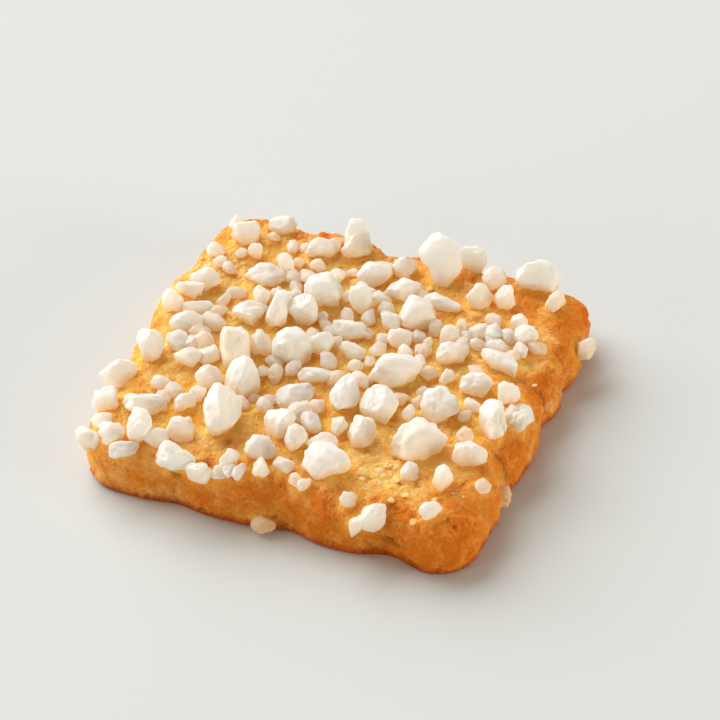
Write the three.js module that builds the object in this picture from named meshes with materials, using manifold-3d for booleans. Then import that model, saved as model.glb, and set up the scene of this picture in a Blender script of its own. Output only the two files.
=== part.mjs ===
// A butter biscuit topped with nib sugar. Millimetres, +Z up, origin at the middle of the flat base.
// The dough is a small square with a scalloped edge and a rounded rim. Coarse white sugar nibs were
// pressed into its top before baking, so each one sits partly sunk in the crust, and dough and sugar
// have baked into one piece.
import * as THREE from 'three';
import { mergeVertices } from 'three/addons/utils/BufferGeometryUtils.js';
import Module from 'manifold-3d';

// Dough. Its underside lies a little below Z = 0 before the tray cuts it flat there.
const HALF_SIDE = 25.2;
const THICKNESS = 7.3;
const CORNER_RADIUS = 5.5;
const RIM_RADIUS = 2.6;
const FOOT_RADIUS = 0.6;
const WALL_BULGE = 0.4;
const UNDERSIDE = -0.3;

// Grid of the dough's skin: steps along a side and up a wall, and how much it tightens at the edge
const SIDE_STEPS = 24;
const WALL_STEPS = 4;
const EDGE_CROWDING = 0.5;

// Low swells of the baked crust: wave length, heading in radians and shift of each wave
const SWELL_HEIGHT = 0.25;
const SWELLS = [[17, 0.4, 1.0], [11, 1.9, 2.1], [7.5, 2.8, 0.3]];

// Scallops of the edge, going round from the front. A notch has its place along the side, measured
// anticlockwise from the middle, its depth and its half width. A negative depth is a bulge.
const SIDES = [
  { out: new THREE.Vector2(0, -1), notches: [[-12, 0.6, 2.6], [2.2, 1.1, 3.6], [15.5, 1.4, 3.2]] },
  {
    out: new THREE.Vector2(1, 0),
    notches: [[-9.5, 1.2, 2.6], [4.8, 1.1, 2.4], [12.3, 0.9, 2], [20.5, 0.9, 4.5]],
  },
  {
    out: new THREE.Vector2(0, 1),
    notches: [[-21, 0.6, 4], [-9.5, 0.8, 2.6], [2.6, 1.8, 2.6], [15, 0.9, 2.6], [21, 0.5, 4]],
  },
  {
    out: new THREE.Vector2(-1, 0),
    notches: [[-5, -1.8, 12], [-12, 0.6, 2.6], [1, 0.6, 2.8], [14, 0.7, 2.6]],
  },
];

// Large nibs that lie in the crust: x, y, long, wide, height above the crust and turn in degrees
const LARGE_NIBS = [
  [-21, 18.5, 3.6, 3, 2.8, 20], [-17.5, 22, 3.2, 2.4, 1.8, 20], [-10.5, 19, 4.4, 2.2, 2.4, 50],
  [-6.5, 20.5, 3.6, 2.6, 3, 30], [-7.3, 22.4, 3.2, 2.8, 4, 20], [-15.5, 11.5, 5, 3.2, 2.2, 20],
  [-13.5, 14, 2, 1.8, 2.8, 0], [-7, 10, 4.6, 4.4, 4, 150], [-2.5, 17, 5.4, 2.8, 2.6, 60],
  [0.5, 19.5, 3, 2.6, 2.4, 20], [-2, 10.5, 2.8, 2.8, 4, 20], [-8, 6, 3.6, 3, 3.6, 20],
  [-11, 5.5, 5.6, 2.6, 4, 90], [-14.5, 3.5, 3.4, 3, 2, 20], [-6.5, -1, 4.6, 4.6, 4, 20],
  [-3.5, 1, 2.8, 3, 3.2, 20], [-1.5, 5, 4.2, 2.6, 2.2, 10], [20.5, 20, 3.2, 1.8, 2, 75],
  [2, 15, 4.6, 2.6, 2.4, 45], [7.5, 14.5, 4.8, 1.8, 2, 0], [5.5, 11, 4.4, 3.6, 3.6, 20],
  [11.5, 17, 3.2, 3, 2.8, 20], [14.5, 18, 2.4, 2.4, 2.6, 20], [12, 5.5, 4, 2.8, 2.8, 60],
  [18.5, 6, 5, 2.4, 2.6, -15], [5, 6, 3.2, 2.8, 2.2, 20], [7, -0.5, 6, 4.2, 3.2, 15],
  [17, 1, 4, 2.8, 2.4, 20], [21.5, 0.5, 2.6, 2.4, 3, 20], [-13, -4, 6, 3.8, 5, 100],
  [-10.5, -1.5, 2.6, 3.2, 2.8, 20], [-2, -4.5, 4.4, 1.8, 1.8, 20], [-10, -9, 4, 4.4, 4.4, 20],
  [-3, -9, 5, 3.4, 2.2, 45], [-14, -10, 3, 2.6, 2.4, 20], [-19.5, -17.5, 5.2, 3.2, 2.6, 20],
  [-9.5, -16.5, 6, 4.4, 5, 100], [-2.5, -15, 3.6, 3.4, 3, 20], [-13.5, -20, 3.2, 2.8, 2.4, 20],
  [-18, -22, 2.8, 3.6, 3.2, 20], [-3, -20, 3.8, 3, 2.6, 20], [3, -7.5, 5.2, 3.4, 3.4, 95],
  [7.5, -7.5, 4.4, 4, 3.6, 0], [14.5, -5, 4.6, 4.4, 4, 20], [21.5, -5.5, 5.2, 2.8, 3.8, 125],
  [21, -11.5, 3.8, 3, 3, 20], [14.5, -12, 6, 5, 4, 10], [7.5, -13, 3.2, 3.4, 3.2, 20],
  [5.5, -20, 5.4, 4, 3.6, -10], [3.5, -16, 3.4, 2.8, 2.2, 20], [20, -22.5, 2.8, 1.8, 1.8, 50],
  [0.5, -17, 2.6, 3, 3, 20], [19.5, -17, 2.2, 2.6, 2.8, 20], [-22, 7.5, 3.4, 2.4, 2.6, 0],
  [-24, 2, 2.6, 2.6, 3, 20], [-21, 2.5, 4.4, 1.6, 1.8, 10], [-23, -7.5, 3.2, 3.4, 3.4, 20],
  [-23, 5, 3.4, 2, 2.2, 20], [-21, -1, 4, 2.6, 2.4, 30], [-18, 0.5, 3, 2, 1.8, 0],
  [-18.5, 15.5, 1.8, 1.4, 2.2, 0],
];

// Nibs that stand on edge, overhang the rim or stick to the side: x, y and z of the middle, long, wide,
// tall, turn and lean in degrees, and taper. The lean tips the nib about its long way, a negative one to
// the back, and the taper is the share by which it is longer at its top and shorter at its foot.
const PERCHED_NIBS = [
  [5, 20.5, 9.6, 4.8, 2.6, 6.8, 20, -35, 0.2], [8, 23.8, 8.2, 3.2, 2.4, 4, 45, -20, 0.2],
  [17, 23.2, 8.4, 5.2, 3.6, 5.4, 15, -10, 0], [-25.2, -12.5, 7.4, 4.2, 3, 3.8, 30, 0, 0.2],
  [-24.4, -18, 7.4, 3, 2.8, 3.2, 20, 0, 0], [-24.2, -23.4, 5.8, 3.6, 2.4, 2.8, -20, 0, 0],
  [-12.3, -24.5, 7.5, 4.6, 3.4, 4.6, 20, 20, 0], [-19, -25, 7, 3.6, 1.8, 2.2, 35, 15, 0],
  [-8.8, -25.4, 7, 3.2, 2, 3.6, 0, 25, 0], [13.4, -24.9, 6.5, 3.2, 2.8, 3.6, 60, 30, 0],
  [11.7, -25.5, 5.5, 2.6, 1.8, 2.8, 60, 30, 0], [10, -23.8, 7.2, 2, 1.6, 2.2, 30, 0, 0],
  [26, 16.4, 5, 2.8, 2.2, 2.8, 70, 0, 0], [25, -10.8, 2.2, 2.6, 2, 2.4, 100, 0, 0],
  [-0.4, -25.5, 1.4, 2.8, 2.2, 2.4, 0, 0, 0],
];

// Patches where small nibs lie between the large ones: x, y, reach, number and longest
const PATCHES = [
  [-14, 19, 1.2, 2, 2.2], [-11, 13.5, 0.6, 1, 3], [-18, 7, 0.6, 1, 3.2], [-14, 6.5, 1.2, 2, 3],
  [-7.5, 14.5, 0.6, 1, 3], [-18, -5, 3, 6, 3.4], [-7.5, -5, 1.5, 3, 2.8], [-1.5, -2, 0.6, 1, 3],
  [-14.5, -12.5, 0.6, 1, 2.8], [-18.5, -13.5, 1.5, 3, 2.6], [-14.5, -15, 0.6, 1, 3],
  [-8.5, -13, 0.6, 1, 2.6], [-5.5, -12, 1.4, 2, 2.6], [-6, -24, 2, 4, 2.8], [-2, -23, 0.6, 1, 2.6],
  [0, -21.5, 0.6, 1, 2.6], [3, -23, 1.2, 2, 2.6], [-22, -22.5, 1.6, 2, 3.2], [-16, -22.5, 0.6, 1, 2.8],
  [1, -13.5, 0.6, 1, 3.4], [-1, -11.5, 0.6, 1, 3.2], [3.5, -12.5, 0.6, 1, 3], [15, -16.5, 0.6, 1, 2.8],
  [24, -15, 0.6, 1, 3], [19.5, -8.5, 0.6, 1, 2.6], [13.5, 1, 0.6, 1, 3.2], [11, -6.5, 0.6, 1, 3.4],
  [16.5, 4, 0.6, 1, 2.4], [24, -1.5, 1.6, 3, 3.2], [17.5, -3, 0.6, 1, 3], [14, 14, 0.6, 1, 3.2],
  [17.5, 11, 4, 11, 3], [12, 10, 2, 4, 2.8], [12, 21, 0.6, 1, 3], [3, 9, 0.6, 1, 3], [3.5, 3.5, 0.6, 1, 3],
  [9, 6, 1.4, 2, 2.2], [0.5, 12.5, 0.6, 1, 2.8], [3, -3, 0.6, 1, 3], [0.5, 1, 0.6, 1, 3.2],
  [-23, 20, 0.6, 1, 3.2], [-4, 7, 5, 5, 2.6], [0, 0, 19, 16, 2.2],
];

// Small nibs: the least length in a patch as a share of its longest, the ranges of width and height as
// shares of the length, the range of lean in degrees, and how far a nib may lie over its neighbour
const SMALL_SHORTEST = 0.7;
const SMALL_WIDTHS = [0.6, 0.95];
const SMALL_HEIGHTS = [0.65, 0.95];
const SMALL_LEANS = [-25, 25];
const SMALL_OVERLAP = 1.2;
const PLACES_TRIED = 12;
const RIM_CLEARANCE = 0.7;
const NIB_SEED = 1138;

// Nibs are broken crystals: a lump cut by flat facets, with its edges worn round. The lump's radius and
// the facets' distances are on one scale, and the sunk share is the part of a nib's height in the crust.
const LUMP_RADIUS = 1.06;
const FACETS = 6;
const FACET_DISTANCES = [0.58, 0.9];
const EDGE_SHARPNESS = 12;
const SUNK_SHARE = 0.2;
const BROAD_NIB = 4;

// A repeatable run of numbers between 0 and 1
function makeDraw(seed) {
  const multiplier = 16807;
  const modulus = 2147483647;
  let state = seed;
  return () => {
    state = (state * multiplier) % modulus;
    return state / modulus;
  };
}

function between(low, high, share) {
  return low + (high - low) * share;
}

// The scalloped edge, from a point of the plain square
function edgePoint(square) {
  const straight = HALF_SIDE - CORNER_RADIUS;
  const centre = square.clone().clampScalar(-straight, straight);
  const normal = square.clone().sub(centre).normalize();
  const point = centre.clone().addScaledVector(normal, CORNER_RADIUS);
  let depth = 0;
  for (const { out, notches } of SIDES) {
    const facing = Math.max(0, normal.dot(out)) ** 2;
    const along = out.cross(point);
    for (const [place, notchDepth, halfWidth] of notches) {
      depth += facing * notchDepth * Math.exp(-(((along - place) / halfWidth) ** 2));
    }
  }
  return point.addScaledVector(normal, -depth);
}

function swell(x, y) {
  let sum = 0;
  for (const [wave, heading, shift] of SWELLS) {
    const distance = x * Math.cos(heading) + y * Math.sin(heading);
    sum += Math.sin((2 * Math.PI * distance) / wave + shift);
  }
  return (SWELL_HEIGHT * sum) / SWELLS.length;
}

// How far a place on the top lies inside the edge
function inwardOf(x, y) {
  const reach = Math.max(Math.abs(x), Math.abs(y), Number.EPSILON);
  const edge = edgePoint(new THREE.Vector2(x, y).multiplyScalar(HALF_SIDE / reach));
  return HALF_SIDE * (1 - Math.hypot(x, y) / edge.length());
}

function crustHeight(x, y) {
  const inward = THREE.MathUtils.clamp(inwardOf(x, y), 0, RIM_RADIUS);
  const drop = RIM_RADIUS - Math.sqrt(RIM_RADIUS ** 2 - (RIM_RADIUS - inward) ** 2);
  return THICKNESS - drop + (swell(x, y) * inward) / RIM_RADIUS;
}

// Grid lines that lie closer together towards the edge
function crowded(place) {
  return between(place, Math.sin((place * Math.PI) / 2), EDGE_CROWDING);
}

// The dough: a gridded box whose rings follow the edge, with its section rounded at rim and foot
function doughGeometry() {
  const box = new THREE.BoxGeometry(2, 2, 2, SIDE_STEPS, SIDE_STEPS, WALL_STEPS);
  box.deleteAttribute('normal');
  box.deleteAttribute('uv');
  const dough = mergeVertices(box);
  const place = dough.attributes.position;
  for (let i = 0; i < place.count; i += 1) {
    const square = new THREE.Vector2(crowded(place.getX(i)), crowded(place.getY(i)));
    const ring = Math.max(Math.abs(square.x), Math.abs(square.y));
    const height = between(UNDERSIDE, THICKNESS, (place.getZ(i) + 1) / 2);
    const inward = HALF_SIDE * (1 - ring);
    const upper = height > THICKNESS / 2;
    const radius = upper ? RIM_RADIUS : FOOT_RADIUS;
    const depth = upper ? THICKNESS - height : height - UNDERSIDE;
    const across = radius - Math.min(inward, radius);
    const upright = radius - Math.min(depth, radius);
    const pull = 1 - radius / Math.max(Math.hypot(across, upright), radius);
    const roundedDepth = depth + upright * pull;
    const bulge = (WALL_BULGE * Math.sin((Math.PI * height) / THICKNESS) * across) / radius;
    const scale = 1 - (inward + across * pull - bulge) / HALF_SIDE;
    const edge = ring > 0 ? edgePoint(square.multiplyScalar(HALF_SIDE / ring)) : square;
    const x = edge.x * scale;
    const y = edge.y * scale;
    const lift = upper ? (swell(x, y) * (radius - across)) / radius : 0;
    place.setXYZ(i, x, y, upper ? THICKNESS - roundedDepth + lift : UNDERSIDE + roundedDepth);
  }
  return dough;
}

function drawFacets(draw) {
  const facets = [];
  for (let i = 0; i < FACETS; i += 1) {
    const height = between(-1, 1, draw());
    const angle = 2 * Math.PI * draw();
    const flat = Math.sqrt(1 - height ** 2);
    const normal = new THREE.Vector3(flat * Math.cos(angle), flat * Math.sin(angle), height);
    facets.push({ normal, distance: between(...FACET_DISTANCES, draw()) });
  }
  return facets;
}

// Height of a nib's middle where it has sunk into the crust
function restingHeight(x, y, tall) {
  return crustHeight(x, y) + (0.5 - SUNK_SHARE) * tall;
}

// All the nibs, largest first: each has its middle, size, turn, lean, taper and facets
function placeNibs() {
  const draw = makeDraw(NIB_SEED);
  const nibs = [];
  for (const [x, y, long, wide, shown, turn] of LARGE_NIBS) {
    const tall = shown / (1 - SUNK_SHARE);
    const z = restingHeight(x, y, tall);
    const size = [long, wide, tall];
    nibs.push({ x, y, z, size, turn, lean: 0, taper: 0, facets: drawFacets(draw) });
  }
  for (const [x, y, z, long, wide, tall, turn, lean, taper] of PERCHED_NIBS) {
    nibs.push({ x, y, z, size: [long, wide, tall], turn, lean, taper, facets: drawFacets(draw) });
  }
  for (const patch of PATCHES) {
    scatterSmallNibs(patch, draw, nibs);
  }
  return nibs;
}

// Mean radius of a nib seen from above
function footprint({ size: [long, wide] }) {
  return (long + wide) / 4;
}

// Small nibs of one patch, largest first, each at the roomiest of the places that were tried
function scatterSmallNibs([patchX, patchY, reach, number, longest], draw, nibs) {
  for (let i = 0; i < number; i += 1) {
    const long = longest * between(1, SMALL_SHORTEST, (i + draw()) / number);
    const wide = long * between(...SMALL_WIDTHS, draw());
    const tall = long * between(...SMALL_HEIGHTS, draw());
    const size = [long, wide, tall];
    const turn = 180 * draw();
    const lean = between(...SMALL_LEANS, draw());
    const facets = drawFacets(draw);
    let best = { room: -Infinity };
    for (let k = 0; k < PLACES_TRIED; k += 1) {
      const angle = 2 * Math.PI * draw();
      const distance = reach * Math.sqrt(draw());
      const x = patchX + distance * Math.cos(angle);
      const y = patchY + distance * Math.sin(angle);
      const gaps = nibs.map((nib) => Math.hypot(nib.x - x, nib.y - y) - footprint(nib));
      const room = inwardOf(x, y) > RIM_CLEARANCE ? Math.min(...gaps) - footprint({ size }) : -Infinity;
      if (room > best.room) {
        best = { x, y, room };
      }
    }
    if (best.room > -SMALL_OVERLAP) {
      const z = restingHeight(best.x, best.y, tall);
      nibs.push({ x: best.x, y: best.y, z, size, turn, lean, taper: 0, facets });
    }
  }
}

function nibRadius(direction, facets) {
  let sum = LUMP_RADIUS ** -EDGE_SHARPNESS;
  for (const { normal, distance } of facets) {
    sum += (Math.max(0, direction.dot(normal)) / distance) ** EDGE_SHARPNESS;
  }
  return sum ** (-1 / EDGE_SHARPNESS);
}

// A nib as a lump with few sides, more on a broad one, brought to its length, width and height
function nibGeometry({ x, y, z, size, turn, lean, taper, facets }) {
  const broad = size[0] > BROAD_NIB;
  const ball = broad ? new THREE.DodecahedronGeometry(1) : new THREE.IcosahedronGeometry(1);
  ball.deleteAttribute('normal');
  ball.deleteAttribute('uv');
  const nib = mergeVertices(ball);
  const place = nib.attributes.position;
  const point = new THREE.Vector3();
  for (let i = 0; i < place.count; i += 1) {
    point.fromBufferAttribute(place, i).normalize();
    point.multiplyScalar(nibRadius(point, facets));
    place.setXYZ(i, point.x, point.y, point.z);
  }
  nib.center();
  const extent = nib.boundingBox.getSize(new THREE.Vector3());
  nib.scale(size[0] / extent.x, size[1] / extent.y, size[2] / extent.z);
  for (let i = 0; i < place.count; i += 1) {
    place.setX(i, place.getX(i) * (1 + (taper * place.getZ(i)) / (size[2] / 2)));
  }
  const tilt = new THREE.Euler(THREE.MathUtils.degToRad(lean), 0, THREE.MathUtils.degToRad(turn), 'ZYX');
  const pose = new THREE.Matrix4().makeRotationFromEuler(tilt).setPosition(x, y, z);
  return nib.applyMatrix4(pose);
}

const wasm = await Module();
wasm.setup();

function toSolid(geometry) {
  const vertProperties = new Float32Array(geometry.attributes.position.array);
  const triVerts = new Uint32Array(geometry.index.array);
  return new wasm.Manifold(new wasm.Mesh({ numProp: 3, vertProperties, triVerts }));
}

function toGeometry(solid) {
  const { vertProperties, triVerts } = solid.getMesh();
  const geometry = new THREE.BufferGeometry();
  geometry.setAttribute('position', new THREE.BufferAttribute(vertProperties, 3));
  geometry.setIndex(new THREE.BufferAttribute(triVerts, 1));
  geometry.computeVertexNormals();
  return geometry;
}

// Dough and nibs bake into one piece, flat where it lay on the tray. Keeping only its outer skin fills
// the hollows that nibs close off.
function biscuitGeometry() {
  let baked = toSolid(doughGeometry());
  for (const nib of placeNibs()) {
    baked = baked.add(toSolid(nibGeometry(nib)));
  }
  const trayPlane = [0, 0, 1];
  const skins = baked.trimByPlane(trayPlane, 0).decompose();
  skins.sort((first, second) => second.volume() - first.volume());
  return toGeometry(skins[0]);
}

const bakedDough = new THREE.MeshStandardMaterial({ color: '#d9a04e', roughness: 0.85, metalness: 0 });

const biscuit = new THREE.Mesh(biscuitGeometry(), bakedDough);
biscuit.name = 'biscuit';

const butterBiscuit = new THREE.Group();
butterBiscuit.add(biscuit);

export default butterBiscuit;
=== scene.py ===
import math
from collections import namedtuple

import bpy
import numpy as np
from mathutils import Matrix, Vector, noise


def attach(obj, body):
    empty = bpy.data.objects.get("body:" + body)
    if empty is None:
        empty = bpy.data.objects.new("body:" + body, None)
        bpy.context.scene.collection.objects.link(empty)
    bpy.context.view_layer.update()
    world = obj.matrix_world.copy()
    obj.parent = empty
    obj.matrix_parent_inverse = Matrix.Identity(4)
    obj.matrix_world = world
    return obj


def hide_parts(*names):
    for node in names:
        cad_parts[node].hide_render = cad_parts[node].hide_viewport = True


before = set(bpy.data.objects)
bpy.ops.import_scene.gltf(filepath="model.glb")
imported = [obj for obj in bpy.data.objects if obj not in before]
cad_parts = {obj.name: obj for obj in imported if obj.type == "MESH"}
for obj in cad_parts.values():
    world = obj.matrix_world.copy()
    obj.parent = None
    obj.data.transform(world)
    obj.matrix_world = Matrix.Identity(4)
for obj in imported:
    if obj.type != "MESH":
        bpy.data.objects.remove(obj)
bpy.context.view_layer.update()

# Baked dough
# A small square of butter dough, cut with a scalloped cutter, strewn with coarse sugar and baked on a
# flat tray. Its crust closes round each nib that sank into it, and browns at the rim and the foot, where
# some painted shade darkens it too.
# Sizes are in millimetres. The underside starts a little below the tray and is pressed flat on it.
MM = 0.001
HALF_SIDE = 25.2
THICKNESS = 7.3
CORNER_RADIUS = 5.5
RIM_RADIUS = 2.6
FOOT_RADIUS = 0.6
WALL_BULGE = 0.4
UNDERSIDE = -0.3

# Grid of the dough's skin: steps along x, y and z, and how much it tightens at the edge
DOUGH_STEPS = (188, 188, 22)
EDGE_CROWDING = 0.3

# Keeps lengths that something is divided by above zero
TINY = 1e-9

# Low swells of the crust: wave length, heading in radians and shift of each wave
SWELL_HEIGHT = 0.25
SWELLS = [(17, 0.4, 1.0), (11, 1.9, 2.1), (7.5, 2.8, 0.3)]

# The way each side faces, from the front round to the left, and its notches: place along the side from
# the middle, depth and half width. A negative depth is a bulge.
SIDES = [
    ((0, -1), [(-12, 0.6, 2.6), (2.2, 1.1, 3.6), (15.5, 1.4, 3.2)]),
    ((1, 0), [(-9.5, 1.2, 2.6), (4.8, 1.1, 2.4), (12.3, 0.9, 2), (20.5, 0.9, 4.5)]),
    ((0, 1), [(-21, 0.6, 4), (-9.5, 0.8, 2.6), (2.6, 1.8, 2.6), (15, 0.9, 2.6), (21, 0.5, 4)]),
    ((-1, 0), [(-5, -1.8, 12), (-12, 0.6, 2.6), (1, 0.6, 2.8), (14, 0.7, 2.6)]),
]


def between(low, high, share):
    return low + (high - low) * share


def ease(low, high, value):
    """Goes smoothly from 0 at low to 1 at high."""
    share = np.clip((value - low) / (high - low), 0, 1)
    return share * share * (3 - 2 * share)


def edge_points(square):
    """The scalloped edge, from points of the plain square."""
    straight = HALF_SIDE - CORNER_RADIUS
    centre = np.clip(square, -straight, straight)
    normal = square - centre
    normal = normal / np.maximum(np.linalg.norm(normal, axis=1, keepdims=True), TINY)
    point = centre + CORNER_RADIUS * normal
    depth = np.zeros(len(square))
    for out, notches in SIDES:
        facing = np.maximum(0, normal @ np.array(out)) ** 2
        along = out[0] * point[:, 1] - out[1] * point[:, 0]
        for place, notch_depth, half_width in notches:
            depth += facing * notch_depth * np.exp(-(((along - place) / half_width) ** 2))
    return point - depth[:, None] * normal


def swell(plan):
    total = np.zeros(len(plan))
    for wave, heading, shift in SWELLS:
        distance = plan @ np.array([math.cos(heading), math.sin(heading)])
        total += np.sin(2 * math.pi * distance / wave + shift)
    return SWELL_HEIGHT * total / len(SWELLS)


def inward_of(plan):
    """How far places on the top lie inside the edge."""
    reach = np.maximum(np.abs(plan).max(axis=1), TINY)
    edge = edge_points(plan * (HALF_SIDE / reach)[:, None])
    return HALF_SIDE * (1 - np.linalg.norm(plan, axis=1) / np.linalg.norm(edge, axis=1))


def crust_height(plan):
    inward = np.clip(inward_of(plan), 0, RIM_RADIUS)
    drop = RIM_RADIUS - np.sqrt(RIM_RADIUS ** 2 - (RIM_RADIUS - inward) ** 2)
    return THICKNESS - drop + swell(plan) * inward / RIM_RADIUS


# The crust closes round the sugar nibs, so their places and sizes come before the dough's mesh.
# Large nibs that lie in the crust: x, y, long, wide, height above the crust and turn in degrees
LARGE_NIBS = [
    (-21, 18.5, 3.6, 3, 2.8, 20), (-17.5, 22, 3.2, 2.4, 1.8, 20), (-10.5, 19, 4.4, 2.2, 2.4, 50),
    (-6.5, 20.5, 3.6, 2.6, 3, 30), (-7.3, 22.4, 3.2, 2.8, 4, 20), (-15.5, 11.5, 5, 3.2, 2.2, 20),
    (-13.5, 14, 2, 1.8, 2.8, 0), (-7, 10, 4.6, 4.4, 4, 150), (-2.5, 17, 5.4, 2.8, 2.6, 60),
    (0.5, 19.5, 3, 2.6, 2.4, 20), (-2, 10.5, 2.8, 2.8, 4, 20), (-8, 6, 3.6, 3, 3.6, 20),
    (-11, 5.5, 5.6, 2.6, 4, 90), (-14.5, 3.5, 3.4, 3, 2, 20), (-6.5, -1, 4.6, 4.6, 4, 20),
    (-3.5, 1, 2.8, 3, 3.2, 20), (-1.5, 5, 4.2, 2.6, 2.2, 10), (20.5, 20, 3.2, 1.8, 2, 75),
    (2, 15, 4.6, 2.6, 2.4, 45), (7.5, 14.5, 4.8, 1.8, 2, 0), (5.5, 11, 4.4, 3.6, 3.6, 20),
    (11.5, 17, 3.2, 3, 2.8, 20), (14.5, 18, 2.4, 2.4, 2.6, 20), (12, 5.5, 4, 2.8, 2.8, 60),
    (18.5, 6, 5, 2.4, 2.6, -15), (5, 6, 3.2, 2.8, 2.2, 20), (7, -0.5, 6, 4.2, 3.2, 15),
    (17, 1, 4, 2.8, 2.4, 20), (21.5, 0.5, 2.6, 2.4, 3, 20), (-13, -4, 6, 3.8, 5, 100),
    (-10.5, -1.5, 2.6, 3.2, 2.8, 20), (-2, -4.5, 4.4, 1.8, 1.8, 20), (-10, -9, 4, 4.4, 4.4, 20),
    (-3, -9, 5, 3.4, 2.2, 45), (-14, -10, 3, 2.6, 2.4, 20), (-19.5, -17.5, 5.2, 3.2, 2.6, 20),
    (-9.5, -16.5, 6, 4.4, 5, 100), (-2.5, -15, 3.6, 3.4, 3, 20), (-13.5, -20, 3.2, 2.8, 2.4, 20),
    (-18, -22, 2.8, 3.6, 3.2, 20), (-3, -20, 3.8, 3, 2.6, 20), (3, -7.5, 5.2, 3.4, 3.4, 95),
    (7.5, -7.5, 4.4, 4, 3.6, 0), (14.5, -5, 4.6, 4.4, 4, 20), (21.5, -5.5, 5.2, 2.8, 3.8, 125),
    (21, -11.5, 3.8, 3, 3, 20), (14.5, -12, 6, 5, 4, 10), (7.5, -13, 3.2, 3.4, 3.2, 20),
    (5.5, -20, 5.4, 4, 3.6, -10), (3.5, -16, 3.4, 2.8, 2.2, 20), (20, -22.5, 2.8, 1.8, 1.8, 50),
    (0.5, -17, 2.6, 3, 3, 20), (19.5, -17, 2.2, 2.6, 2.8, 20), (-22, 7.5, 3.4, 2.4, 2.6, 0),
    (-24, 2, 2.6, 2.6, 3, 20), (-21, 2.5, 4.4, 1.6, 1.8, 10), (-23, -7.5, 3.2, 3.4, 3.4, 20),
    (-23, 5, 3.4, 2, 2.2, 20), (-21, -1, 4, 2.6, 2.4, 30), (-18, 0.5, 3, 2, 1.8, 0),
    (-18.5, 15.5, 1.8, 1.4, 2.2, 0),
]

# Nibs that stand on edge, overhang the rim or stick to the side: x, y and z of the middle, long, wide,
# tall, turn and lean in degrees, and the share by which the top is longer
PERCHED_NIBS = [
    (5, 20.5, 9.6, 4.8, 2.6, 6.8, 20, -35, 0.2), (8, 23.8, 8.2, 3.2, 2.4, 4, 45, -20, 0.2),
    (17, 23.2, 8.4, 5.2, 3.6, 5.4, 15, -10, 0), (-25.2, -12.5, 7.4, 4.2, 3, 3.8, 30, 0, 0.2),
    (-24.4, -18, 7.4, 3, 2.8, 3.2, 20, 0, 0), (-24.2, -23.4, 5.8, 3.6, 2.4, 2.8, -20, 0, 0),
    (-12.3, -24.5, 7.5, 4.6, 3.4, 4.6, 20, 20, 0), (-19, -25, 7, 3.6, 1.8, 2.2, 35, 15, 0),
    (-8.8, -25.4, 7, 3.2, 2, 3.6, 0, 25, 0), (13.4, -24.9, 6.5, 3.2, 2.8, 3.6, 60, 30, 0),
    (11.7, -25.5, 5.5, 2.6, 1.8, 2.8, 60, 30, 0), (10, -23.8, 7.2, 2, 1.6, 2.2, 30, 0, 0),
    (26, 16.4, 5, 2.8, 2.2, 2.8, 70, 0, 0), (25, -10.8, 2.2, 2.6, 2, 2.4, 100, 0, 0),
    (-0.4, -25.5, 1.4, 2.8, 2.2, 2.4, 0, 0, 0),
]

# Patches where small nibs lie between the large ones: x, y, reach, number and longest
PATCHES = [
    (-14, 19, 1.2, 2, 2.2), (-11, 13.5, 0.6, 1, 3), (-18, 7, 0.6, 1, 3.2), (-14, 6.5, 1.2, 2, 3),
    (-7.5, 14.5, 0.6, 1, 3), (-18, -5, 3, 6, 3.4), (-7.5, -5, 1.5, 3, 2.8), (-1.5, -2, 0.6, 1, 3),
    (-14.5, -12.5, 0.6, 1, 2.8), (-18.5, -13.5, 1.5, 3, 2.6), (-14.5, -15, 0.6, 1, 3),
    (-8.5, -13, 0.6, 1, 2.6), (-5.5, -12, 1.4, 2, 2.6), (-6, -24, 2, 4, 2.8), (-2, -23, 0.6, 1, 2.6),
    (0, -21.5, 0.6, 1, 2.6), (3, -23, 1.2, 2, 2.6), (-22, -22.5, 1.6, 2, 3.2), (-16, -22.5, 0.6, 1, 2.8),
    (1, -13.5, 0.6, 1, 3.4), (-1, -11.5, 0.6, 1, 3.2), (3.5, -12.5, 0.6, 1, 3), (15, -16.5, 0.6, 1, 2.8),
    (24, -15, 0.6, 1, 3), (19.5, -8.5, 0.6, 1, 2.6), (13.5, 1, 0.6, 1, 3.2), (11, -6.5, 0.6, 1, 3.4),
    (16.5, 4, 0.6, 1, 2.4), (24, -1.5, 1.6, 3, 3.2), (17.5, -3, 0.6, 1, 3), (14, 14, 0.6, 1, 3.2),
    (17.5, 11, 4, 11, 3), (12, 10, 2, 4, 2.8), (12, 21, 0.6, 1, 3), (3, 9, 0.6, 1, 3),
    (3.5, 3.5, 0.6, 1, 3), (9, 6, 1.4, 2, 2.2), (0.5, 12.5, 0.6, 1, 2.8), (3, -3, 0.6, 1, 3),
    (0.5, 1, 0.6, 1, 3.2), (-23, 20, 0.6, 1, 3.2), (-4, 7, 5, 5, 2.6), (0, 0, 19, 16, 2.2),
]

# Small nibs: the least length in a patch as a share of its longest, the ranges of width and height as
# shares of the length, the range of lean in degrees, and how far a nib may lie over its neighbour
SMALL_SHORTEST = 0.7
SMALL_WIDTHS = (0.6, 0.95)
SMALL_HEIGHTS = (0.65, 0.95)
SMALL_LEANS = (-25, 25)
SMALL_OVERLAP = 1.2
PLACES_TRIED = 12
RIM_CLEARANCE = 0.7
NIB_SEED = 1138

# Any nib: its flat broken faces, their distances as shares of its radius, and the share of its height
# that has sunk into the crust
FACETS = 6
FACET_DISTANCES = (0.58, 0.9)
SUNK_SHARE = 0.2

Nib = namedtuple("Nib", "place size turn lean taper facets")


def make_draw(seed):
    """A repeatable run of numbers between 0 and 1."""
    multiplier = 16807
    modulus = 2147483647
    state = seed
    while True:
        state = state * multiplier % modulus
        yield state / modulus


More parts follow.
